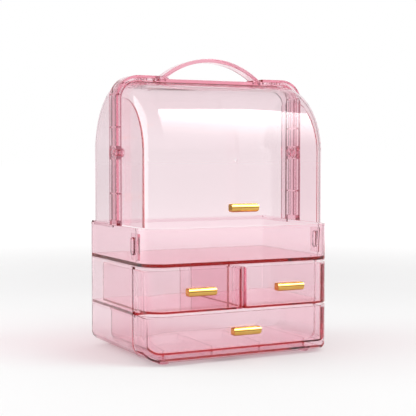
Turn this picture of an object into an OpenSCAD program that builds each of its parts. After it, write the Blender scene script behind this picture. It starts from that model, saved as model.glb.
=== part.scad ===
// Dustproof makeup organizer: a clear pink vanity box with a flip-up hood,
// a carrying frame with a handle, a fenced tray, two small upper drawers and
// one wide lower drawer, each front with a gold bar pull.
// Millimetres. +Z is up, the front faces -Y, +X is to the right seen from the
// front, and the origin is on the floor under the middle of the whole object,
// from the noses of the pulls to the back of the rim.

/* [Body] */
// Width of the case, the drawer fronts and the tray
body_w = 279.4; // [276:0.2:284]
// Depth of the box from the drawer fronts to the back
body_d = 199.4; // [197:0.2:203]
// Plan radius of the two front corners
front_r = 32; // [29:1:33]
// Plan radius of the two rear corners
rear_r = 8; // [6:0.5:10]
// Radius of the two long lower edges
base_r = 20; // [17:1:22]
// Thickness of the case walls, drawer fronts and fence
wall = 3; // [2.6:0.1:3.4]
// How far the drawer fronts wrap back round the front corners
wrap_d = 43.7; // [41:0.1:47]
// How far the rim on the case's front edge stands out
rim_out = 1.2; // [0.6:0.1:1.8]

/* [Heights] */
// Height of the feet
foot_h = 5.5; // [4:0.5:8]
// Clear height of the lower bay
lower_bay_h = 53.5; // [50:0.5:60]
// Thickness of the shelf between the bays
shelf_t = 3.5; // [2.5:0.5:5]
// Clear height of the upper bay
upper_bay_h = 59.8; // [56:0.2:66]
// Thickness of the tray deck
deck_t = 5.7; // [4.5:0.1:7]
// Height of the fence round the tray
fence_h = 44; // [40:1:50]
// Height of the hood hinge above the fence rim
hinge_h = 97; // [90:1:105]

/* [Drawers] */
// Thickness of the drawer floors and box walls
box_wall = 2.5; // [2:0.1:3]
// Gap between each drawer box and the case walls
side_gap = 3.2; // [2.6:0.1:4]
// Height of the gap between the lower and upper fronts
row_gap = 3.9; // [2.6:0.1:4.6]
// Gap between the upper fronts and the deck
deck_gap = 3.3; // [2:0.1:4.5]
// Depth of the upper drawers from front to back
upper_box_d = 165; // [140:1:185]
// Depth of the lower drawer from front to back
lower_box_d = 135; // [120:1:160]
// Width of the open line between the two upper fronts
split_gap = 1.5; // [1:0.1:2.5]
// Free play under each drawer runner
runner_play = 0.3; // [0.2:0.1:0.6]

/* [Fence] */
// How far the rim bead stands out from the fence
bead_out = 0.3; // [0.2:0.1:0.8]
// Height of the rim bead
bead_h = 3.3; // [2:0.1:5]
// Distance of the fence joint from the front
joint_d = 34.7; // [34.2:0.1:36]
// Height of the stadium clips
clip_h = 23.3; // [18:0.1:26]
// Width of the stadium clips
clip_w = 11; // [8:0.5:12]

/* [Hood] */
// Gap between the sides of the front and rear hoods
hood_side_gap = 1; // [0.6:0.1:1.6]
// Radius of the round top of the front hood about its hinge
hood_r = 93.7; // [91:0.1:93.8]
// Roll radius of the front hood edges
hood_roll = 22.5; // [21.5:0.5:26]
// Wall thickness of the front hood
hood_t = 2.2; // [1.8:0.1:2.4]
// How much thicker its flat side panels are
panel_step = 1.4; // [0.8:0.1:2]
// Wall thickness of the rear hood
rear_t = 2.1; // [1.8:0.1:2.3]
// Roll radius of the rear hood edges
rear_roll = 13; // [10:0.5:16]
// How far the hinge line lies behind the middle of the body
hinge_off = 1.2; // [0.6:0.1:1.6]

/* [Carrying frame] */
// How far the carrying frame stands out from each side of the body
frame_out = 3.3; // [2.6:0.1:5]
// Thickness of the uprights
frame_t = 7.6; // [7:0.1:7.9]
// Width of the frame from front to back
frame_w = 26; // [24:0.5:27]
// Thickness of the frame's top bar over the hood
frame_top_t = 8.5; // [8:0.1:12]
// Outer radius of the two upper frame corners
frame_r = 32; // [28:1:33]
// Rise of the handle above the frame top
handle_rise = 26; // [20:1:34]
// Half span of the handle where it leaves the frame
handle_hw = 73.5; // [66:0.5:76]
// Thickness of the handle bow
handle_t = 5; // [4:0.1:6.5]
// Width of the handle from front to back
handle_w = 19.5; // [16:0.5:22]

/* [Hinge pins] */
// Diameter of the hinge pins
pin_d = 8; // [6:0.5:9]
// Running clearance on the pin radius
pin_play = 0.05; // [0.02:0.01:0.09]

/* [Pulls] */
// Length of each pull
pull_l = 40; // [32:1:48]
// Height of each pull
pull_h = 11.4; // [10:0.2:14]
// How far each pull stands out
pull_d = 11; // [9:0.5:13]
// Distance between the two screws of a pull
screw_pitch = 22; // [18:1:24]
// Diameter of the pull screws
screw_d = 3; // [2.5:0.1:3.6]

/* [Hidden] */
$fn = 96;
eps = 1;

mid_y = (pull_d - bead_out) / 2;
front_y = mid_y - body_d / 2;
back_y = mid_y + body_d / 2;
half_w = body_w / 2;
case_y = front_y + wrap_d;
front_play = 0.5;
wrap_y = case_y - front_play;

base_z = foot_h;
floor_z = base_z + wall;
shelf_z = floor_z + lower_bay_h;
shelf_top = shelf_z + shelf_t;
deck_z = shelf_top + upper_bay_h;
deck_top = deck_z + deck_t;
rim_z = deck_top + fence_h;
hinge_z = rim_z + hinge_h;

recess_d = 1;
seat_play = 0.15;
shelf_corner = rear_r - wall + 2;

tongue_in = 0.5;
tongue_start = 6;
slot_play = 0.7;
tongue_hw = half_w - base_r - tongue_in;
tongue_y = front_y + wall + tongue_start;
slot_hw = tongue_hw + slot_play;

rim_w = 3;
ledge_w = 2;
ledge_h = 3;

lower_front_top = shelf_top - row_gap / 2;
upper_front_z = shelf_top + row_gap / 2;
upper_front_top = deck_z - deck_gap;
lower_floor_rise = 9.5;
lower_top_gap = 1.5;
upper_top_gap = 5.5;
lower_floor_z = base_z + lower_floor_rise;
lower_box_top = shelf_z - lower_top_gap;
upper_box_top = deck_z - upper_top_gap;
box_hw = half_w - wall - side_gap;
box_round = 14.5;
box_corner = 24;
box_rear_corner = 6;
box_inner_x = 3;
box_front_y = front_y + wall - box_wall;
return_d = 25;
inner_corner = 5;
rib_w = 3;
lower_ribs = [36, 106];
rib_front = 25;
lower_rib_y = front_y + rib_front;
upper_ribs = [28, 110];

fence_t = wall;
joint_y = front_y + joint_d;
lap_t = 1.8;
lap_play = 0.1;
lap_back = 18;
lap_front = 5;
lap_foot = 3;
lap_head = 7;
lap_z0 = deck_top + lap_foot;
lap_z1 = rim_z - lap_head;
clip_in = 8;
clip_rise = 20.8;
clip_y = joint_y + clip_in;
clip_z = deck_top + clip_rise;
clip_out = 2;
clip_play = 0.1;
clip_x0 = half_w - wall - lap_play - lap_t - 0.8;

hinge_y = mid_y + hinge_off;
frame_off = 4;
frame_y = mid_y + frame_off;
frame_front = frame_y - frame_w / 2;
frame_back = frame_y + frame_w / 2;
frame_hw = half_w + frame_out;

hood_z = rim_z + 1;
lip_gap = 0.4;
hood_wing = 24;
hood_back = hinge_y + hood_wing;
panel_reach = 2;
nest_gap = 0.5;
rear_r_in = hood_r + nest_gap;
rear_r_out = rear_r_in + rear_t;
rear_hw = half_w - wall - lip_gap;
rear_y0 = frame_back + 0.3;
hood_hw = rear_hw - rear_t - hood_side_gap;
rear_y1 = hinge_y + rear_r_out;
flange_t = 2.2;
flange_inset = 0.5;
lip_y1 = back_y - wall - lip_gap;

sweep_gap = 0.8;
frame_under = hinge_z + hood_r + sweep_gap;
frame_top = frame_under + frame_top_t;
flange_out_t = 3.3;
flange_in_t = 1.8;
web_t = 8;
groove_d = (frame_w - web_t) / 2;
rib_t = 2;
side_ribs = [42.5, 131, 174];
top_ribs = [99, 107];
foot_block = 7;
pivot_block = 9;
saddle_end = 5.5;
saddle_depth = 4;
saddle_hw = handle_hw + saddle_end;
saddle_z = frame_top - saddle_depth;
saddle_solid = saddle_hw + 2;

bow_r = (handle_hw * handle_hw + handle_rise * handle_rise) / (2 * handle_rise);
bow_z = frame_top + handle_rise - bow_r;
pad_l = 14;
pad_t = 2.4;
tang_l = 8;
tang_w = 7.5;
tang_h = 2.5;

head_d = 14.5;
head_t = 2;
head_play = 0.1;
cap_d = 12;
cap_t = 2;
cap_gap = 0.3;
dimple_d = 4.5;
dimple_h = 1;
boss_d = 16;
boss_gap = 0.3;

foot_d = 14;
foot_x = 106;
foot_y = 75;
front_foot_y = mid_y - foot_y;
back_foot_y = mid_y + foot_y;
peg_d = 5;
peg_h = 2;
peg_play = 0.05;

upper_pull_x = 65.6;
upper_pull_rise = 26.5;
lower_pull_rise = 33.5;
hood_pull_rise = 25;
upper_pull_z = upper_front_z + upper_pull_rise;
lower_pull_z = base_z + lower_pull_rise;
hood_pull_z = rim_z + hood_pull_rise;
pull_end_r = 3;
neck_in = 0.6;
screw_in = 6;
screw_play = 0.05;
hole_play = 0.2;
screw_head_d = 6;
screw_head_t = 1.6;
mark_d = 6;
mark_depth = 1.2;
mark_drop = 9;
mark_z = hinge_z - mark_drop;
mark_x = -9.2;

// Flat shapes

// The part of a corner that a rounding takes away. sx and sy point inwards.
module corner_cut(x, y, sx, sy, r) {
    difference() {
        translate([sx > 0 ? x - eps : x - r, sy > 0 ? y - eps : y - r])
            square([r + eps, r + eps]);
        translate([x + sx * r, y + sy * r])
            circle(r);
    }
}

// A rectangle whose two lower and two upper corners have their own radii.
module round_rect(x0, x1, y0, y1, lower_left, lower_right, upper) {
    difference() {
        translate([x0, y0])
            square([x1 - x0, y1 - y0]);
        if (lower_left > 0)
            corner_cut(x0, y0, 1, 1, lower_left);
        if (lower_right > 0)
            corner_cut(x1, y0, -1, 1, lower_right);
        if (upper > 0) {
            corner_cut(x0, y1, 1, -1, upper);
            corner_cut(x1, y1, -1, -1, upper);
        }
    }
}

// The plan of the whole body pulled in by d on every side.
module body_plan(d) {
    round_rect(-half_w + d, half_w - d, front_y + d, back_y - d,
        front_r - d, front_r - d, max(rear_r - d, 0));
}

// The front view of the case with its round lower edges, pulled in by d.
module base_profile(d, top) {
    round_rect(-half_w + d, half_w - d, base_z + d, top, base_r - d, base_r - d, 0);
}

// Stands a front-view shape up and runs it from y0 back to y1.
module run_back(y0, y1) {
    translate([0, y1, 0])
        rotate([90, 0, 0])
            linear_extrude(height = y1 - y0)
                children();
}

// A plan shape from z0 up to z1.
module rise(z0, z1) {
    translate([0, 0, z0])
        linear_extrude(height = z1 - z0)
            children();
}

// A block between two corners.
module block(x0, x1, y0, y1, z0, z1) {
    translate([x0, y0, z0])
        cube([x1 - x0, y1 - y0, z1 - z0]);
}

module both_sides() {
    children();
    mirror([1, 0, 0])
        children();
}

// A cylinder along X from x0 to x1 on the hinge line.
module on_hinge(d, x0, x1) {
    translate([x0, hinge_y, hinge_z])
        rotate([0, 90, 0])
            cylinder(d = d, h = x1 - x0);
}

// Case

module case_shell() {
    color([0.9, 0.65, 0.72, 0.4])
    union() {
        difference() {
            intersection() {
                run_back(case_y, back_y)
                    base_profile(0, deck_z);
                rise(0, deck_z + eps)
                    body_plan(0);
            }
            intersection() {
                run_back(case_y - eps, back_y - wall)
                    base_profile(wall, deck_z + eps);
                rise(0, deck_z + eps)
                    body_plan(wall);
            }
            for (x = [-foot_x, foot_x])
                translate([x, back_foot_y, base_z - eps])
                    cylinder(d = peg_d + 2 * peg_play, h = peg_h + eps + peg_play);
        }
        case_rim();
        case_tongue();
        both_sides()
            block(half_w - wall - ledge_w, half_w - wall + eps / 2,
                case_y, back_y - wall, shelf_z - ledge_h, shelf_z);
    }
}

// The narrow rim round the sides and bottom of the case's front edge.
module case_rim() {
    difference() {
        run_back(case_y, case_y + rim_w)
            base_profile(-rim_out, deck_z);
        run_back(case_y - eps, case_y + rim_w + eps)
            base_profile(wall / 2, deck_z + eps);
    }
}

// The bottom plate that runs forward under the lower drawer to the front feet.
module case_tongue() {
    difference() {
        block(-tongue_hw, tongue_hw, tongue_y, case_y + eps, base_z, floor_z);
        for (x = [-foot_x, foot_x])
            translate([x, front_foot_y, base_z - eps])
                cylinder(d = peg_d + 2 * peg_play, h = peg_h + eps + peg_play);
    }
}

// The shelf's rear corners are rounder than the case inside them.
module mid_shelf() {
    hw = half_w - wall - seat_play;
    color([0.92, 0.7, 0.76, 0.4])
    rise(shelf_z, shelf_top)
        round_rect(-hw, hw, case_y, back_y - wall - seat_play, 0, 0, shelf_corner);
}

module centre_divider() {
    color([0.85, 0.45, 0.55, 0.5])
    block(-wall / 2, wall / 2, case_y, back_y - wall - seat_play,
        shelf_top, deck_z + recess_d);
}

module feet() {
    color([0.9, 0.75, 0.8])
    for (x = [-foot_x, foot_x])
        for (y = [front_foot_y, back_foot_y])
            translate([x, y, 0]) {
                cylinder(d = foot_d, h = foot_h);
                cylinder(d = peg_d, h = foot_h + peg_h);
            }
}

// Tray

// The fence ring with its rim bead, from height z0 up, kept between two depths.
module fence_ring(z0, y0, y1) {
    intersection() {
        union() {
            rise(z0, rim_z)
                difference() {
                    body_plan(0);
                    body_plan(fence_t);
                }
            rise(rim_z - bead_h, rim_z)
                difference() {
                    body_plan(-bead_out);
                    body_plan(fence_t / 2);
                }
        }
        block(-frame_hw, frame_hw, y0, y1, z0 - eps, rim_z + eps);
    }
}

// The outline of one clip seen from the side, grown by d.
module clip_outline(d) {
    r = clip_w / 2 + d;
    half = clip_h / 2 - clip_w / 2;
    translate([clip_z, clip_y]) {
        square([2 * half, 2 * r], center = true);
        for (s = [-1, 1])
            translate([s * half, 0])
                circle(r);
    }
}

// One clip body on the right-hand side, from x0 out to x1.
module clip_body(d, x0, x1) {
    translate([x0, 0, 0])
        rotate([0, -90, 0])
            mirror([0, 0, 1])
                linear_extrude(height = x1 - x0)
                    clip_outline(d);
}

module tray() {
    color([0.9, 0.55, 0.62, 0.4])
    difference() {
        union() {
            rise(deck_z, deck_top)
                body_plan(0);
            fence_ring(deck_top - eps, joint_y, back_y + wall);
        }
        rise(deck_z - eps, deck_z + recess_d)
            body_plan(wall);
        both_sides()
            clip_body(clip_play, half_w - wall - eps, half_w + wall);
    }
}

module fence_front() {
    lap_x = half_w - wall;
    color([0.92, 0.6, 0.68, 0.4])
    difference() {
        union() {
            fence_ring(deck_top, front_y - wall, joint_y - lap_play);
            both_sides() {
                block(lap_x - lap_play - lap_t, lap_x - lap_play,
                    joint_y - lap_front, joint_y + lap_back, lap_z0, lap_z1);
                block(lap_x - lap_t, lap_x + lap_t,
                    joint_y - lap_front, joint_y - lap_play, lap_z0, lap_z1);
            }
        }
        both_sides()
            clip_body(clip_play, half_w - 3 * wall, half_w + wall);
    }
}

module fence_clips() {
    color([0.85, 0.5, 0.6, 0.6])
    both_sides()
        clip_body(0, clip_x0, half_w + clip_out);
}

// Hood

// Half section of a hood over its hinge line: distance out, then along X.
module hood_section(r, hw, roll) {
    difference() {
        translate([0, -hw])
            square([r, 2 * hw]);
        corner_cut(r, -hw, -1, 1, roll);
        corner_cut(r, hw, -1, -1, roll);
    }
}

// Turns a half section from the back over the top to the front.
module over_the_top() {
    translate([0, hinge_y, hinge_z])
        rotate([0, 90, 0])
            rotate([0, 0, 90])
                rotate_extrude(angle = 180)
                    children();
}

module front_hood() {
    hw_in = hood_hw - hood_t;
    r_in = hood_r - hood_t;
    roll_in = hood_roll - hood_t;
    y0 = hinge_y - hood_r;
    color([0.95, 0.75, 0.8, 0.3])
    difference() {
        union() {
            intersection() {
                over_the_top()
                    difference() {
                        hood_section(hood_r, hood_hw, hood_roll);
                        hood_section(r_in, hw_in, roll_in);
                    }
                block(-frame_hw, frame_hw, -body_d, hood_back, hinge_z - eps, frame_top);
            }
            rise(hood_z, hinge_z)
                difference() {
                    round_rect(-hood_hw, hood_hw, y0, hood_back, hood_roll, hood_roll, 0);
                    round_rect(-hw_in, hw_in, y0 + hood_t, hood_back + eps, roll_in, roll_in, 0);
                }
            both_sides() {
                on_hinge(boss_d, hood_hw - hood_t / 2, frame_hw - frame_t - boss_gap);
                hood_panel(hw_in - panel_step, hw_in + hood_t / 2);
            }
        }
        hood_mark(y0);
        both_sides()
            on_hinge(pin_d + 2 * pin_play, hw_in - panel_step - eps, frame_hw);
        pull_holes(0, hood_pull_z, y0, hood_t);
    }
}

// The flat side panel of the hood from x0 out to x1. It ends in a step where
// the rolled edge begins.
module hood_panel(x0, x1) {
    r = hood_r - hood_roll + panel_reach;
    translate([x0, 0, 0])
        rotate([90, 0, 90])
            linear_extrude(height = x1 - x0)
                intersection() {
                    union() {
                        translate([hinge_y, hinge_z])
                            circle(r);
                        translate([hinge_y - r, hood_z])
                            square([r + hood_wing, hinge_z - hood_z]);
                    }
                    translate([hinge_y - r - eps, hood_z])
                        square([r + eps + hood_wing, hinge_z + r]);
                }
}

// The small round dimple that moulding leaves on the hood front.
module hood_mark(y0) {
    r = mark_d / 2;
    ball_r = (r * r + mark_depth * mark_depth) / (2 * mark_depth);
    translate([mark_x, y0, mark_z])
        rotate([90, 0, 0])
            rotate_extrude($fn = 48)
                intersection() {
                    translate([0, ball_r - mark_depth])
                        circle(ball_r);
                    translate([0, -mark_depth])
                        square([ball_r, mark_depth + eps]);
                }
}

module rear_hood() {
    hw_in = rear_hw - rear_t;
    roll_in = rear_roll - rear_t;
    color([0.93, 0.7, 0.76, 0.3])
    union() {
        intersection() {
            over_the_top()
                difference() {
                    hood_section(rear_r_out, rear_hw, rear_roll);
                    hood_section(rear_r_in, hw_in, roll_in);
                }
            block(-frame_hw, frame_hw, rear_y0, body_d, hinge_z - eps, frame_top);
        }
        rise(rim_z, hinge_z)
            difference() {
                round_rect(-rear_hw, rear_hw, rear_y0, rear_y1, 0, 0, rear_roll);
                round_rect(-hw_in, hw_in, rear_y0 - eps, rear_y1 - rear_t, 0, 0, roll_in);
            }
        rise(rim_z, rim_z + flange_t)
            difference() {
                round_rect(-half_w + flange_inset, half_w - flange_inset,
                    rear_y0, back_y - flange_inset, 0, 0, rear_r - flange_inset);
                round_rect(-hw_in, hw_in, rear_y0 - eps, rear_y1 - rear_t, 0, 0, roll_in);
            }
        rise(rim_z - bead_h, rim_z + flange_t / 2)
            difference() {
                round_rect(-rear_hw, rear_hw, rear_y0, lip_y1, 0, 0, rear_roll);
                round_rect(-hw_in, hw_in, rear_y0 - eps, lip_y1 - rear_t, 0, 0, roll_in);
            }
    }
}

module hinge_pins() {
    cap_x = hood_hw - hood_t - panel_step - cap_gap - cap_t;
    color([0.8, 0.45, 0.5])
    both_sides()
        difference() {
            union() {
                on_hinge(pin_d, cap_x, frame_hw);
                on_hinge(head_d, frame_hw - head_t, frame_hw);
                on_hinge(cap_d, cap_x, cap_x + cap_t);
            }
            on_hinge(dimple_d, cap_x - eps, cap_x + dimple_h);
        }
}

// Carrying frame

// An upside-down U whose outer face is pulled in by d and whose inner face
// is pulled out by e.
module frame_outline(d, e) {
    hw = frame_hw - d;
    hw_in = frame_hw - frame_t + e;
    r_in = frame_r - frame_t + e;
    difference() {
        round_rect(-hw, hw, rim_z, frame_top - d, 0, 0, frame_r - d);
        round_rect(-hw_in, hw_in, rim_z - eps, frame_under + e, 0, 0, r_in);
    }
}

// The groove shape with the ribs and solid blocks left out of it.
module groove_outline() {
    difference() {
        frame_outline(flange_out_t, flange_in_t);
        translate([-frame_hw, rim_z - eps])
            square([2 * frame_hw, foot_block + eps]);
        translate([-frame_hw, hinge_z - pivot_block])
            square([2 * frame_hw, 2 * pivot_block]);
        for (z = side_ribs)
            translate([-frame_hw, rim_z + z - rib_t / 2])
                square([2 * frame_hw, rib_t]);
        for (x = top_ribs, s = [-1, 1])
            translate([s * x - rib_t / 2, frame_under - eps])
                square([rib_t, frame_top - frame_under + eps]);
        translate([-saddle_solid, frame_under - eps])
            square([2 * saddle_solid, frame_top - frame_under + eps]);
    }
}

module carry_frame() {
    front = frame_front;
    back = frame_back;
    color([0.85, 0.5, 0.55, 0.5])
    difference() {
        run_back(front, back)
            frame_outline(0, 0);
        run_back(front - eps, front + groove_d)
            groove_outline();
        run_back(back - groove_d, back + eps)
            groove_outline();
        block(-saddle_hw, saddle_hw, front - eps, back + eps, saddle_z, frame_top + eps);
        both_sides()
            block(saddle_hw - pad_l / 2 - tang_l / 2 - lap_play,
                saddle_hw - pad_l / 2 + tang_l / 2 + lap_play,
                frame_y - tang_w / 2 - lap_play, frame_y + tang_w / 2 + lap_play,
                saddle_z - tang_h - lap_play, saddle_z + eps);
        both_sides()
            on_hinge(pin_d + 2 * pin_play, half_w - 3 * wall, frame_hw + eps);
        both_sides()
            on_hinge(head_d + 2 * head_play, frame_hw - head_t, frame_hw + eps);
    }
}

module carry_handle() {
    front = frame_y - handle_w / 2;
    back = frame_y + handle_w / 2;
    color([0.9, 0.55, 0.6, 0.6])
    union() {
        run_back(front, back)
            intersection() {
                difference() {
                    translate([0, bow_z])
                        circle(bow_r, $fn = 180);
                    translate([0, bow_z])
                        circle(bow_r - handle_t, $fn = 180);
                }
                translate([-saddle_hw + lap_play, saddle_z])
                    square([2 * (saddle_hw - lap_play), saddle_depth + handle_rise + eps]);
            }
        both_sides() {
            block(saddle_hw - pad_l, saddle_hw - lap_play, front, back,
                saddle_z, saddle_z + pad_t);
            block(saddle_hw - pad_l / 2 - tang_l / 2, saddle_hw - pad_l / 2 + tang_l / 2,
                frame_y - tang_w / 2, frame_y + tang_w / 2, saddle_z - tang_h, saddle_z + pad_t / 2);
        }
    }
}

// Drawers

// The wrapped front of a drawer, from x0 to x1, pulled in by d.
module front_plan(x0, x1, left_r, right_r, d, y1) {
    round_rect(x0 + d, x1 - d, front_y + d, y1, left_r - d, right_r - d, 0);
}

// The box of a drawer in plan, pulled in by d.
module box_plan(x0, x1, left_r, right_r, d, y1) {
    round_rect(x0 + d, x1 - d, box_front_y + d, y1 - d, left_r - d, right_r - d,
        box_rear_corner - d);
}

module drawer_lower() {
    rear = front_y + lower_box_d;
    color([0.9, 0.5, 0.6, 0.4])
    difference() {
        union() {
            difference() {
                intersection() {
                    run_back(front_y - eps, wrap_y)
                        base_profile(0, lower_front_top);
                    rise(0, lower_front_top + eps)
                        front_plan(-half_w, half_w, front_r, front_r, 0, wrap_y + eps);
                }
                intersection() {
                    run_back(front_y - eps, wrap_y + eps)
                        base_profile(wall, lower_front_top + eps);
                    rise(0, lower_front_top + eps)
                        front_plan(-half_w, half_w, front_r, front_r, wall, wrap_y + 2 * eps);
                }
                block(-slot_hw, slot_hw, front_y + wall, wrap_y + eps, 0, floor_z + eps);
            }
            lower_box(rear);
            for (x = lower_ribs, s = [-1, 1])
                block(s * x - rib_w / 2, s * x + rib_w / 2, lower_rib_y, rear - 5,
                    floor_z + runner_play, lower_floor_z + eps);
        }
        lower_cavity(rear);
        pull_holes(0, lower_pull_z, front_y, wall);
    }
}

// The outside of the lower drawer box.
module lower_box(rear) {
    intersection() {
        run_back(box_front_y, rear)
            round_rect(-box_hw, box_hw, lower_floor_z, lower_box_top, box_round, box_round, 0);
        rise(0, lower_box_top + eps)
            box_plan(-box_hw, box_hw, box_corner, box_corner, 0, rear);
    }
}

// The inside of the lower drawer box.
module lower_cavity(rear) {
    w = box_wall;
    intersection() {
        run_back(front_y, rear)
            round_rect(-box_hw + w, box_hw - w, lower_floor_z + w, lower_front_top + eps,
                box_round - w, box_round - w, 0);
        rise(0, lower_front_top + eps)
            box_plan(-box_hw, box_hw, box_corner, box_corner, w, rear);
    }
}

// The right-hand upper drawer.
module upper_drawer() {
    rear = front_y + upper_box_d;
    x0 = split_gap / 2;
    difference() {
        union() {
            difference() {
                rise(upper_front_z, upper_front_top)
                    front_plan(x0, half_w, inner_corner, front_r, 0, wrap_y);
                rise(upper_front_z - eps, upper_front_top + eps)
                    front_plan(x0, half_w, inner_corner, front_r, wall, wrap_y + 2 * eps);
                block(-eps, x0 + wall + eps, front_y + return_d, wrap_y + eps,
                    upper_front_z - eps, upper_front_top + eps);
            }
            rise(upper_front_z, upper_box_top)
                box_plan(box_inner_x, box_hw, inner_corner, box_corner, 0, rear);
            for (x = upper_ribs)
                block(x - rib_w / 2, x + rib_w / 2, lower_rib_y, rear - 5,
                    shelf_top + runner_play, upper_front_z + eps);
        }
        rise(upper_front_z + box_wall, upper_front_top + eps)
            box_plan(box_inner_x, box_hw, inner_corner, box_corner, box_wall, rear);
        pull_holes(upper_pull_x, upper_pull_z, front_y, wall);
    }
}

module drawer_upper_right() {
    color([0.9, 0.45, 0.58, 0.4])
    upper_drawer();
}

module drawer_upper_left() {
    color([0.9, 0.45, 0.58, 0.4])
    mirror([1, 0, 0])
        upper_drawer();
}

// Pulls

// The two screw holes through a front whose outer face is at y.
module pull_holes(x, z, y, t) {
    for (s = [-1, 1])
        translate([x + s * screw_pitch / 2, y + t + eps, z])
            rotate([90, 0, 0])
                cylinder(d = screw_d + 2 * hole_play, h = t + 2 * eps, $fn = 48);
}

// A pull whose back rests on a front face at y.
module pull(x, z, y) {
    r = pull_h / 2;
    translate([x, y, z])
        difference() {
            intersection() {
                translate([-pull_l / 2, 0, 0])
                    rotate([90, 0, 90])
                        linear_extrude(height = pull_l)
                            pull_side(r);
                rotate([90, 0, 0])
                    linear_extrude(height = pull_d + eps)
                        round_rect(-pull_l / 2, pull_l / 2, -r, r,
                            pull_end_r, pull_end_r, pull_end_r);
            }
            for (s = [-1, 1])
                translate([s * screw_pitch / 2, eps, 0])
                    rotate([90, 0, 0])
                        cylinder(d = screw_d + 2 * screw_play, h = screw_in + eps, $fn = 48);
        }
}

// Side view of a pull: a round bar on a neck that is a little lower.
module pull_side(r) {
    neck_r = r - neck_in;
    translate([-pull_d + r, -neck_r])
        square([pull_d - r, 2 * neck_r]);
    intersection() {
        translate([-pull_d + r, 0])
            circle(r);
        translate([-pull_d, -r])
            square([pull_d, 2 * r]);
    }
}

// The two screws of a pull, with their heads against the inside of the front.
module pull_screws(x, z, y, t) {
    for (s = [-1, 1])
        translate([x + s * screw_pitch / 2, y + t, z]) {
            rotate([90, 0, 0])
                cylinder(d = screw_d, h = t + screw_in - 0.5, $fn = 48);
            rotate([-90, 0, 0])
                cylinder(d = screw_head_d, h = screw_head_t, $fn = 48);
        }
}

module hood_pull() {
    color([0.85, 0.65, 0.2])
    pull(0, hood_pull_z, hinge_y - hood_r);
}

module upper_left_pull() {
    color([0.85, 0.65, 0.2])
    pull(-upper_pull_x, upper_pull_z, front_y);
}

module upper_right_pull() {
    color([0.85, 0.65, 0.2])
    pull(upper_pull_x, upper_pull_z, front_y);
}

module lower_pull() {
    color([0.85, 0.65, 0.2])
    pull(0, lower_pull_z, front_y);
}

module hood_pull_screws() {
    color([0.7, 0.7, 0.72])
    pull_screws(0, hood_pull_z, hinge_y - hood_r, hood_t);
}

module upper_left_pull_screws() {
    color([0.7, 0.7, 0.72])
    pull_screws(-upper_pull_x, upper_pull_z, front_y, wall);
}

module upper_right_pull_screws() {
    color([0.7, 0.7, 0.72])
    pull_screws(upper_pull_x, upper_pull_z, front_y, wall);
}

module lower_pull_screws() {
    color([0.7, 0.7, 0.72])
    pull_screws(0, lower_pull_z, front_y, wall);
}

case_shell();
mid_shelf();
centre_divider();
tray();
fence_front();
fence_clips();
rear_hood();
front_hood();
carry_frame();
carry_handle();
hinge_pins();
drawer_upper_left();
drawer_upper_right();
drawer_lower();
hood_pull();
upper_left_pull();
upper_right_pull();
lower_pull();
hood_pull_screws();
upper_left_pull_screws();
upper_right_pull_screws();
lower_pull_screws();
feet();
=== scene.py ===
# %% [markdown]
# # A clear pink makeup organizer
# The organizer is a box of clear pink plastic: a case with three drawers, a
# tray with a fence, a round hood that flips up, and a carrying frame with a
# handle. The shapes come ready from the CAD model, so this lesson is about
# camera, light, clear plastic and metal. Everything is in metres, with the
# origin on the floor under the middle of the object and the front facing -Y.

# %% Load the frame
import math

import bpy
import numpy as np
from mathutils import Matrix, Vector

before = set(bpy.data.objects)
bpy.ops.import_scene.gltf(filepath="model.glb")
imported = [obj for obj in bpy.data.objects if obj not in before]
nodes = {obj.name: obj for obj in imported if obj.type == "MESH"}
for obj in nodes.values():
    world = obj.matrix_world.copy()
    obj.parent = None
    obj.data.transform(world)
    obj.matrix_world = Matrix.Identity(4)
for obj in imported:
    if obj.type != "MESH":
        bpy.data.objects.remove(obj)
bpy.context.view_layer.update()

scene = bpy.context.scene
mm = 0.001

# %% [markdown]
# ## Camera
# The photograph looks at the object from its front left, almost level, with a
# long lens from about a metre and a half away. The place, heading and tilt
# were found by matching the box's own corners to the picture.

# %% Make the camera
CAMERA_AT = (-0.6734, -1.31295, 0.2687)
CAMERA_HEADING = 26.96
CAMERA_TILT = 2.84
LENS_MM = 92.25
SENSOR_MM = 36.0
CLIP_NEAR = 0.05
CLIP_FAR = 60.0

camera_data = bpy.data.cameras.new("camera")
camera_data.lens = LENS_MM
camera_data.sensor_width = SENSOR_MM
camera_data.clip_start = CLIP_NEAR
camera_data.clip_end = CLIP_FAR
camera = bpy.data.objects.new("camera", camera_data)
camera.location = CAMERA_AT
camera.rotation_euler = (math.radians(90 - CAMERA_TILT), 0, math.radians(-CAMERA_HEADING))
scene.collection.objects.link(camera)
scene.camera = camera
print("camera distance:", round(Vector(CAMERA_AT).length, 3), "m")

# %% [markdown]
# ## Node helpers
# A material is a small network. These helpers add a node with its settings
# and join two sockets, so that each material below reads as a short list.

# %% Node helpers
def add(tree, kind, inputs=None, **settings):
    """Adds a node, sets its properties and the constants on its inputs."""
    node = tree.nodes.new(kind)
    for name, value in settings.items():
        setattr(node, name, value)
    for name, value in (inputs or {}).items():
        node.inputs[name].default_value = value
    return node


def join(tree, *pairs):
    """Joins each (output, input) pair."""
    for output, target in pairs:
        tree.links.new(output, target)


def maths(tree, operation, first, second):
    """One Math node on two sockets or numbers."""
    node = add(tree, "ShaderNodeMath", operation=operation)
    for target, value in zip(node.inputs, (first, second)):
        if isinstance(value, (int, float)):
            target.default_value = value
        else:
            join(tree, (value, target))
    return node.outputs[0]


print("helpers: add, join, maths")

# %% [markdown]
# ## What a ray has met
# The backdrop is plain white, but a white world would light the object too
# strongly. So only rays that carry the picture see white: camera rays, and
# glossy or transmitted rays that haven't met a matt surface yet. Light that
# runs along inside a plate is mirrored many times and comes out in all
# directions, so it sees a mixture and shows the plastic's own deep colour.
# The backdrop is what lies along the view: a direction counts as backdrop by
# the cosine of its angle to the view, from BACKDROP_EDGE to BACKDROP_FULL.

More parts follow.
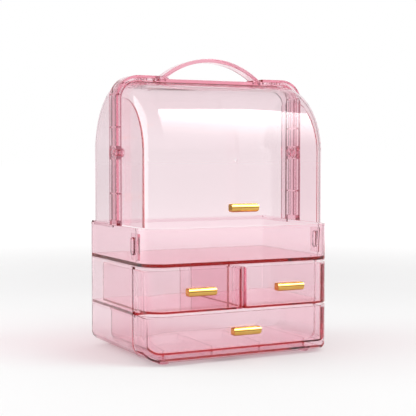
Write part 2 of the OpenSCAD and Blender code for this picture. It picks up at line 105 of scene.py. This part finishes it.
# %% Sorting the rays
EDGE_LIGHT = 0.7
BACKDROP_EDGE = 0.6
BACKDROP_FULL = 0.92


def picture_ray(tree):
    """1 for rays that carry the picture straight, mirrored or through glass, and 0 after a matt surface."""
    path = add(tree, "ShaderNodeLightPath")
    mirrored = maths(tree, "MAXIMUM", path.outputs["Is Camera Ray"], path.outputs["Is Glossy Ray"])
    seen = maths(tree, "MAXIMUM", mirrored, path.outputs["Is Transmission Ray"])
    return maths(tree, "MULTIPLY", seen, maths(tree, "LESS_THAN", path.outputs["Diffuse Depth"], 0.5))


def guided_share(tree):
    """EDGE_LIGHT for a ray that was mirrored more than once, and 0 for all others."""
    depth = add(tree, "ShaderNodeLightPath").outputs["Glossy Depth"]
    return maths(tree, "MULTIPLY", maths(tree, "GREATER_THAN", depth, 1.5), EDGE_LIGHT)


def along_view(tree, direction):
    """How much of the backdrop a ray sees: a smooth step of its cosine to the view, or its guided share."""
    heading = math.radians(CAMERA_HEADING)
    along = add(tree, "ShaderNodeVectorMath", {1: (math.sin(heading), math.cos(heading), 0)},
                operation="DOT_PRODUCT")
    fade = add(tree, "ShaderNodeMapRange", {"From Min": BACKDROP_EDGE, "From Max": BACKDROP_FULL},
               interpolation_type="SMOOTHSTEP")
    join(tree, (direction, along.inputs[0]), (along.outputs["Value"], fade.inputs["Value"]))
    return maths(tree, "MAXIMUM", guided_share(tree), fade.outputs["Result"])


print("full backdrop within", round(math.degrees(math.acos(BACKDROP_FULL)), 1), "degrees of the view")

# %% [markdown]
# ## World
# A real studio is only white behind the object. Its front and sides are
# darker, and clear plastic needs them: an edge shows as a line because it
# mirrors something darker than the backdrop. So a ray that is mirrored once,
# or bent far off by a rounded edge, sees a darker room, and all rays that
# only bring light get a soft, even light. Brightness is 1 for white, and the
# ceiling's limits are how far a direction points up, from 0 to 1.

# %% White backdrop and darker room
WHITE = (1, 1, 1, 1)
WORLD_LIGHT = 0.45
ROOM_FRONT = 0.4
ROOM_CEILING = 0.3
CEILING_FROM = 0.3
CEILING_FULL = 0.75


def room_brightness(tree):
    """ROOM_FRONT at the sides and front, darker towards the ceiling, rising to 1 towards the backdrop."""
    place = add(tree, "ShaderNodeTexCoord").outputs["Generated"]
    height = add(tree, "ShaderNodeSeparateXYZ")
    dim = add(tree, "ShaderNodeMapRange", {"From Min": CEILING_FROM, "From Max": CEILING_FULL,
                                           "To Min": ROOM_FRONT, "To Max": ROOM_CEILING},
              interpolation_type="SMOOTHSTEP")
    join(tree, (place, height.inputs[0]), (height.outputs["Z"], dim.inputs["Value"]))
    camera_ray = add(tree, "ShaderNodeLightPath").outputs["Is Camera Ray"]
    share = maths(tree, "MAXIMUM", along_view(tree, place), camera_ray)
    dark = maths(tree, "MULTIPLY", dim.outputs["Result"], maths(tree, "SUBTRACT", 1, share))
    return maths(tree, "ADD", share, dark)


world = bpy.data.worlds.new("white_backdrop")
scene.world = world
world.use_nodes = True
tree = world.node_tree
tree.nodes.clear()
lit = add(tree, "ShaderNodeBackground", {"Color": WHITE, "Strength": WORLD_LIGHT})
white = add(tree, "ShaderNodeBackground", {"Color": WHITE})
choose = add(tree, "ShaderNodeMixShader")
out = add(tree, "ShaderNodeOutputWorld")
join(tree, (room_brightness(tree), white.inputs["Strength"]),
     (picture_ray(tree), choose.inputs[0]), (lit.outputs[0], choose.inputs[1]),
     (white.outputs[0], choose.inputs[2]), (choose.outputs[0], out.inputs["Surface"]))
print("world:", world.name)

# %% [markdown]
# ## Two tones
# No real surface is one flat colour. The simplest cure is a Mix node between
# two close tones, with a noise as its factor. That node has a number and a
# colour socket of the same name, so a helper picks the right one by its kind.

# %% Two-tone helper
def socket(node, name, kind="VALUE"):
    """The input or output of that name and kind."""
    return next(s for s in (*node.inputs, *node.outputs) if s.name == name and s.type == kind)


def blend(tree, first, second):
    """A colour Mix node between two tones, whose Factor is still open."""
    mix = add(tree, "ShaderNodeMix", data_type="RGBA")
    for name, tone in (("A", first), ("B", second)):
        socket(mix, name, "RGBA").default_value = (*tone, 1)
    return mix


print("helpers: socket, blend")

# %% [markdown]
# ## Floor
# The floor is a big pale sheet. It is a real matt surface, so it catches the
# soft shadow. A share of white is added for picture rays, more of it further
# out where the lamps fade, so that the floor melts into the white backdrop.
# The share grows between two distances from the object, in metres.

# %% Floor material
PAPER_DARK = (0.68, 0.675, 0.675)
PAPER_LIGHT = (0.70, 0.695, 0.695)
PAPER_ROUGHNESS = 0.9
PAPER_SHINE = 0.1
SPECKS = {"Scale": 3.0, "Detail": 3.0}
GLOW_NEAR = 0.17
GLOW_FAR = 0.7
GLOW_FROM = 0.6
GLOW_TO = 2.6


def floor_material():
    """A matt pale floor whose picture rays get some white on top."""
    material = bpy.data.materials.new("floor_paper")
    material.use_nodes = True
    tree = material.node_tree
    shader = tree.nodes["Principled BSDF"]
    shader.inputs["Roughness"].default_value = PAPER_ROUGHNESS
    shader.inputs["Specular IOR Level"].default_value = PAPER_SHINE
    shader.inputs["Emission Color"].default_value = WHITE
    place = add(tree, "ShaderNodeTexCoord").outputs["Object"]
    speck = add(tree, "ShaderNodeTexNoise", SPECKS)
    paper = blend(tree, PAPER_DARK, PAPER_LIGHT)
    away = add(tree, "ShaderNodeVectorMath", operation="LENGTH")
    outward = add(tree, "ShaderNodeVectorMath", operation="NORMALIZE")
    glow = add(tree, "ShaderNodeMapRange", {"From Min": GLOW_FROM, "From Max": GLOW_TO,
                                            "To Min": GLOW_NEAR, "To Max": GLOW_FAR},
               interpolation_type="SMOOTHSTEP")
    depth = add(tree, "ShaderNodeLightPath").outputs["Glossy Depth"]
    straight = maths(tree, "LESS_THAN", depth, 0.5)
    share = maths(tree, "MAXIMUM", along_view(tree, outward.outputs[0]), straight)
    seen = maths(tree, "MULTIPLY", picture_ray(tree), share)
    join(tree, (place, speck.inputs["Vector"]), (place, away.inputs[0]), (place, outward.inputs[0]),
         (away.outputs["Value"], glow.inputs["Value"]),
         (speck.outputs["Fac"], socket(paper, "Factor")),
         (socket(paper, "Result", "RGBA"), shader.inputs["Base Color"]),
         (maths(tree, "MULTIPLY", seen, glow.outputs["Result"]), shader.inputs["Emission Strength"]))
    return material


paper_material = floor_material()
print("floor material:", paper_material.name)

# %% [markdown]
# ## Floor sheet
# One flat grid of points is enough. It lies a hair below the feet, so that
# the two never share a plane.

# %% Floor sheet
FLOOR_HALF = 30.0
FLOOR_DROP = 0.05 * mm
FLOOR_POINTS = 9


def grid_mesh(name, points, rows, columns):
    """A mesh of rows x columns points whose faces join each point to its next neighbours."""
    index = np.arange(rows * columns).reshape(rows, columns)
    faces = np.stack([index[:-1, :-1], index[:-1, 1:], index[1:, 1:], index[1:, :-1]], -1)
    mesh = bpy.data.meshes.new(name)
    mesh.from_pydata(points.reshape(-1, 3).tolist(), [], faces.reshape(-1, 4).tolist())
    return mesh


side = np.linspace(-FLOOR_HALF, FLOOR_HALF, FLOOR_POINTS)
floor_x, floor_y = np.meshgrid(side, side)
floor_points = np.stack([floor_x, floor_y, np.full_like(floor_x, -FLOOR_DROP)], -1)
floor = bpy.data.objects.new("floor", grid_mesh("floor", floor_points, FLOOR_POINTS, FLOOR_POINTS))
floor.data.materials.append(paper_material)
scene.collection.objects.link(floor)
print("floor:", len(floor.data.polygons), "faces")

# %% [markdown]
# ## Lamps
# The highlights tell where the photographer's lamps stood. The broad band on
# the hood's round top is a tall softbox at the front right, bright at its top
# right and fading down and to the left. The strips on every left corner are a
# softbox at the left, a little behind the object. A thin strip far out at the
# right draws a faint line on the flat fronts, and a lamp overhead, which
# nothing mirrors, only fills in light. The camera itself sees none of them.

# %% Softboxes
AIM = Vector((0, 0, 0.2))
EVEN_RIMS = (0.2, 0.2, 0.2, 0.2)


def soft_face(lamp, rims):
    """Lets the lamp's face fade towards its four rims, by a smooth step over each rim's share of the side."""
    lamp.use_nodes = True
    tree = lamp.node_tree
    glow = tree.nodes["Emission"]
    face = add(tree, "ShaderNodeNewGeometry")
    split = add(tree, "ShaderNodeSeparateXYZ")
    join(tree, (face.outputs["Parametric"], split.inputs[0]))
    left, right, low, high = rims
    share = 1.0
    for axis, start, width in (("X", 0, left), ("X", 1, -right), ("Y", 0, low), ("Y", 1, -high)):
        rim = add(tree, "ShaderNodeMapRange", {"From Min": start, "From Max": start + width},
                  interpolation_type="SMOOTHSTEP")
        join(tree, (split.outputs[axis], rim.inputs["Value"]))
        share = maths(tree, "MULTIPLY", rim.outputs["Result"], share)
    join(tree, (share, glow.inputs["Strength"]))


def softbox(name, place, size, watts, rims=EVEN_RIMS, mirrored=True):
    """A rectangular lamp at place, turned to the object, with the width and height of size."""
    lamp = bpy.data.lights.new(name, "AREA")
    lamp.shape = "RECTANGLE"
    lamp.size, lamp.size_y = size
    lamp.energy = watts
    soft_face(lamp, rims)
    holder = bpy.data.objects.new(name, lamp)
    holder.location = place
    holder.rotation_euler = (AIM - Vector(place)).to_track_quat("-Z", "Y").to_euler()
    holder.visible_camera = False
    holder.visible_transmission = False
    holder.visible_glossy = mirrored
    scene.collection.objects.link(holder)


softbox("right_front_softbox", place=(1.0, -1.42, 1.5), size=(1.5, 2.4), watts=110,
        rims=(0.75, 0.05, 0.85, 0.05))
softbox("left_softbox", place=(-1.6, 0.62, 0.75), size=(1.8, 1.8), watts=38,
        rims=(0.15, 0.15, 0.15, 0.15))
softbox("right_front_strip", place=(1.5, -2.6, 0.3), size=(0.04, 1.2), watts=0.22)
softbox("top_softbox", place=(0.1, 0.2, 2.2), size=(1.8, 1.4), watts=6, mirrored=False)

# %% [markdown]
# ## Moulded surfaces
# Moulded plastic and plated metal are never quite flat or quite clean. One
# group gives both: soft waves for the bump and the tone, and fine handling
# marks for the roughness. It starts with the plastic's scales and range of
# roughness, and the metals set their own.

# %% Waves and handling marks
PLASTIC_SURFACE = {"Wave Scale": 9.0, "Mark Scale": 260.0, "Low": 0.01, "High": 0.04}
WAVES = {"Detail": 1.5, "Roughness": 0.4}
MARKS = {"Detail": 4.0, "Roughness": 0.6}
MARK_LOW = 0.35
MARK_HIGH = 0.7


def moulding_group():
    """A group that gives soft waves as Height and fine handling marks as Roughness and Mask."""
    group = bpy.data.node_groups.new("moulded_surface", "ShaderNodeTree")
    for name, value in PLASTIC_SURFACE.items():
        made = group.interface.new_socket(name, in_out="INPUT", socket_type="NodeSocketFloat")
        made.default_value = value
    for name in ("Height", "Roughness", "Mask"):
        group.interface.new_socket(name, in_out="OUTPUT", socket_type="NodeSocketFloat")
    given = add(group, "NodeGroupInput")
    result = add(group, "NodeGroupOutput")
    place = add(group, "ShaderNodeTexCoord").outputs["Object"]
    waves = add(group, "ShaderNodeTexNoise", WAVES)
    marks = add(group, "ShaderNodeTexNoise", MARKS)
    spread = add(group, "ShaderNodeMapRange", {"From Min": MARK_LOW, "From Max": MARK_HIGH})
    join(group, (place, waves.inputs["Vector"]), (given.outputs["Wave Scale"], waves.inputs["Scale"]),
         (place, marks.inputs["Vector"]), (given.outputs["Mark Scale"], marks.inputs["Scale"]),
         (marks.outputs["Fac"], spread.inputs["Value"]),
         (given.outputs["Low"], spread.inputs["To Min"]),
         (given.outputs["High"], spread.inputs["To Max"]),
         (waves.outputs["Fac"], result.inputs["Height"]),
         (spread.outputs["Result"], result.inputs["Roughness"]),
         (marks.outputs["Fac"], result.inputs["Mask"]))
    return group


MOULDED = moulding_group()
print("group:", MOULDED.name)

# %% [markdown]
# ## Clear plastic
# Clear plastic has almost no colour of its own surface. Light bends into it
# and loses a little green and blue for every millimetre it travels inside. A
# thin wall seen flat on stays pale, while an edge, seen along the wall, turns
# a deep rose. Volume absorption does just that, so the same material makes
# the pale faces and the dark edges. The tray and its fence look deeper in the
# photograph, so they absorb more. The round walls of the hoods show a thin
# dark line at their silhouettes, which light bent and mirrored in the wall
# gives; here it is painted shade, a darker tint painted where a wall turns
# away from the eye. The lamps' light passes the walls unbent, so that it
# reaches the inside.

# %% Clear pink plastic
ABSORBED = (0.935, 0.38, 0.53, 1)
CLEAR_DENSITY = 62
DEEP_DENSITY = 84
PLASTIC_IOR = 1.5
SURFACE_TINT = (1, 0.99, 0.995)
HANDLED_TINT = tuple(v * 0.985 for v in SURFACE_TINT)
WAVE_STRENGTH = 0.1
WAVE_HEIGHT = 0.2 * mm
# The next two give painted shade: past this facing value the hoods' colour turns towards a darker tint, which
# draws the dark line at their silhouettes.
PAINTED_SHADE_FROM = 0.68
HOOD_PAINTED_EDGE_SHADE = (0.4, 0.25, 0.29)


def clear_plastic(name, density, painted_edge_shade=SURFACE_TINT):
    """Clear plastic that absorbs by density per metre, with painted shade as a darker tint where a wall turns
    away from the eye.
    """
    material = bpy.data.materials.new(name)
    material.use_nodes = True
    tree = material.node_tree
    shader = tree.nodes["Principled BSDF"]
    out = tree.nodes["Material Output"]
    for socket_name, value in (("IOR", PLASTIC_IOR), ("Transmission Weight", 1.0), ("Metallic", 0.0)):
        shader.inputs[socket_name].default_value = value
    surface = add(tree, "ShaderNodeGroup", node_tree=MOULDED)
    colour = blend(tree, SURFACE_TINT, HANDLED_TINT)
    bump = add(tree, "ShaderNodeBump", {"Strength": WAVE_STRENGTH, "Distance": WAVE_HEIGHT})
    absorb = add(tree, "ShaderNodeVolumeAbsorption", {"Color": ABSORBED, "Density": density})
    # Painted shade: a darker tint mixed in where the wall turns away from the eye stands in for the dark
    # silhouette line.
    turned = add(tree, "ShaderNodeLayerWeight")
    rim = add(tree, "ShaderNodeMapRange", {"From Min": PAINTED_SHADE_FROM, "From Max": 1.0},
              interpolation_type="SMOOTHSTEP")
    edge_shade_tint = blend(tree, SURFACE_TINT, painted_edge_shade)
    path = add(tree, "ShaderNodeLightPath")
    passing = add(tree, "ShaderNodeBsdfTransparent", {"Color": WHITE})
    choose = add(tree, "ShaderNodeMixShader")
    join(tree, (surface.outputs["Mask"], socket(colour, "Factor")),
         (turned.outputs["Facing"], rim.inputs["Value"]),
         (rim.outputs["Result"], socket(edge_shade_tint, "Factor")),
         (socket(colour, "Result", "RGBA"), socket(edge_shade_tint, "A", "RGBA")),
         (socket(edge_shade_tint, "Result", "RGBA"), shader.inputs["Base Color"]),
         (surface.outputs["Roughness"], shader.inputs["Roughness"]),
         (surface.outputs["Height"], bump.inputs["Height"]),
         (bump.outputs["Normal"], shader.inputs["Normal"]),
         (path.outputs["Is Shadow Ray"], choose.inputs[0]),
         (shader.outputs[0], choose.inputs[1]), (passing.outputs[0], choose.inputs[2]),
         (choose.outputs[0], out.inputs["Surface"]), (absorb.outputs[0], out.inputs["Volume"]))
    return material


CLEAR_PINK = clear_plastic("clear_pink_plastic", CLEAR_DENSITY)
DEEP_PINK = clear_plastic("deep_pink_plastic", DEEP_DENSITY)
# The hoods get the painted shade at their silhouettes.
HOOD_PINK = clear_plastic("hood_pink_plastic", CLEAR_DENSITY, painted_edge_shade=HOOD_PAINTED_EDGE_SHADE)
print("plastics:", CLEAR_PINK.name, DEEP_PINK.name, HOOD_PINK.name)

# %% [markdown]
# ## Metal
# The pulls are plated in a warm polished gold and the screws are bright
# steel. Both mirror the room, so their look comes from the lamps. A little
# variation in colour and roughness keeps them from looking computed.

# %% Gold and steel
METAL_WAVES = 90.0
METAL_MARKS = 900.0
METAL_RELIEF = 0.05 * mm


def plated(name, dark, light, low, high, bump_strength):
    """Polished metal between two tones, with roughness from low to high."""
    material = bpy.data.materials.new(name)
    material.use_nodes = True
    tree = material.node_tree
    shader = tree.nodes["Principled BSDF"]
    shader.inputs["Metallic"].default_value = 1.0
    surface = add(tree, "ShaderNodeGroup", {"Wave Scale": METAL_WAVES, "Mark Scale": METAL_MARKS,
                                            "Low": low, "High": high}, node_tree=MOULDED)
    tone = blend(tree, dark, light)
    bump = add(tree, "ShaderNodeBump", {"Strength": bump_strength, "Distance": METAL_RELIEF})
    join(tree, (surface.outputs["Height"], socket(tone, "Factor")),
         (socket(tone, "Result", "RGBA"), shader.inputs["Base Color"]),
         (surface.outputs["Roughness"], shader.inputs["Roughness"]),
         (surface.outputs["Mask"], bump.inputs["Height"]),
         (bump.outputs["Normal"], shader.inputs["Normal"]))
    return material


GOLD = plated("polished_gold", dark=(0.80, 0.43, 0.09), light=(0.90, 0.57, 0.17),
              low=0.04, high=0.09, bump_strength=0.03)
STEEL = plated("bright_steel", dark=(0.55, 0.55, 0.56), light=(0.68, 0.68, 0.69),
               low=0.12, high=0.2, bump_strength=0.1)
print("materials:", [m.name for m in bpy.data.materials])

# %% [markdown]
# ## Finishing a CAD node
# A CAD node has knife-sharp edges and loose triangles. Modifiers finish it
# without touching its mesh: Weld joins the triangles, Bevel rounds the edges
# a little, a node group marks what is smooth, and Weighted Normal keeps the
# flat faces flat. Clear pieces that touch would share a face, which confuses
# glass, so each one also shrinks by a hair.

# %% Finishing modifiers
CREASE_ANGLE = 35
BEVEL_ANGLE = 40
BEVEL_SEGMENTS = 2
WELD_REACH = 0.01 * mm


def smooth_group(angle):
    """Shades faces smooth, but keeps edges sharper than the angle as creases."""
    group = bpy.data.node_groups.new("smooth_by_angle", "GeometryNodeTree")
    group.interface.new_socket("Geometry", in_out="INPUT", socket_type="NodeSocketGeometry")
    group.interface.new_socket("Geometry", in_out="OUTPUT", socket_type="NodeSocketGeometry")
    given = add(group, "NodeGroupInput")
    result = add(group, "NodeGroupOutput")
    faces = add(group, "GeometryNodeSetShadeSmooth", {"Shade Smooth": True}, domain="FACE")
    edges = add(group, "GeometryNodeSetShadeSmooth", {"Shade Smooth": False}, domain="EDGE")
    turn = add(group, "GeometryNodeInputMeshEdgeAngle")
    sharp = add(group, "ShaderNodeMath", {1: math.radians(angle)}, operation="GREATER_THAN")
    join(group, (given.outputs[0], faces.inputs["Geometry"]),
         (faces.outputs["Geometry"], edges.inputs["Geometry"]),
         (turn.outputs["Unsigned Angle"], sharp.inputs[0]),
         (sharp.outputs[0], edges.inputs["Selection"]),
         (edges.outputs["Geometry"], result.inputs[0]))
    return group


SMOOTH = smooth_group(CREASE_ANGLE)


def finish_node(name, material, edge, shrink=0.0):
    """Gives a CAD node its material, rounded edges and clean shading."""
    piece = nodes[name]
    for slot in piece.material_slots:
        slot.material = material
    weld = piece.modifiers.new("join_triangles", "WELD")
    weld.merge_threshold = WELD_REACH
    if shrink:
        hair = piece.modifiers.new("hair_gap", "DISPLACE")
        hair.strength = -shrink
        hair.mid_level = 0.0
    bevel = piece.modifiers.new("soft_edges", "BEVEL")
    bevel.width = edge
    bevel.segments = BEVEL_SEGMENTS
    bevel.limit_method = "ANGLE"
    bevel.angle_limit = math.radians(BEVEL_ANGLE)
    shade = piece.modifiers.new("smooth_shading", "NODES")
    shade.node_group = SMOOTH
    even = piece.modifiers.new("even_normals", "WEIGHTED_NORMAL")
    even.keep_sharp = True


print("shading group:", SMOOTH.name)

# %% [markdown]
# ## Dressing the pieces
# Thick mouldings such as the drawer fronts and the handle have softer edges
# than thin walls. The pulls are gold, the screws are steel, and all the rest
# is clear plastic.

# %% Materials and edges, in millimetres
EDGES = {"case_shell": 0.5, "drawer_lower": 0.8, "drawer_upper_left": 0.8, "drawer_upper_right": 0.8,
         "tray": 0.7, "fence_front": 0.4, "fence_clips": 0.3, "mid_shelf": 0.5, "centre_divider": 0.5,
         "front_hood": 0.45, "rear_hood": 0.45, "carry_frame": 0.45, "carry_handle": 0.8,
         "hinge_pins": 0.3, "feet": 0.4}
PULL_EDGE = 0.8
SCREW_EDGE = 0.15
HAIR_GAP = 0.03
PLASTICS = {"tray": DEEP_PINK, "fence_front": DEEP_PINK, "front_hood": HOOD_PINK, "rear_hood": HOOD_PINK}

for name in nodes:
    if name.endswith("_pull"):
        finish_node(name, GOLD, PULL_EDGE * mm)
    elif name.endswith("_screws"):
        finish_node(name, STEEL, SCREW_EDGE * mm)
    else:
        finish_node(name, PLASTICS.get(name, CLEAR_PINK), EDGES[name] * mm, shrink=HAIR_GAP * mm)
print("dressed:", len(nodes))

# %% [markdown]
# ## Ray depth
# A line of sight through this box crosses many walls, and light that runs
# along inside a plate is mirrored dozens of times, so rays may meet far more
# surfaces than usual. Light focused through the plastic is left out, because
# the photograph's shadow is soft and nearly grey. The Standard view shows a
# colour as it is written.

# %% Bounces and colour view
scene.cycles.max_bounces = 96
scene.cycles.transmission_bounces = 64
scene.cycles.glossy_bounces = 64
scene.cycles.transparent_max_bounces = 64
scene.cycles.caustics_refractive = False
scene.view_settings.view_transform = "Standard"
print("bounces:", scene.cycles.max_bounces)

# %% [markdown]
# ## Last update
# The view layer is brought up to date with the dressed pieces.

# %% Update the view layer
bpy.context.view_layer.update()
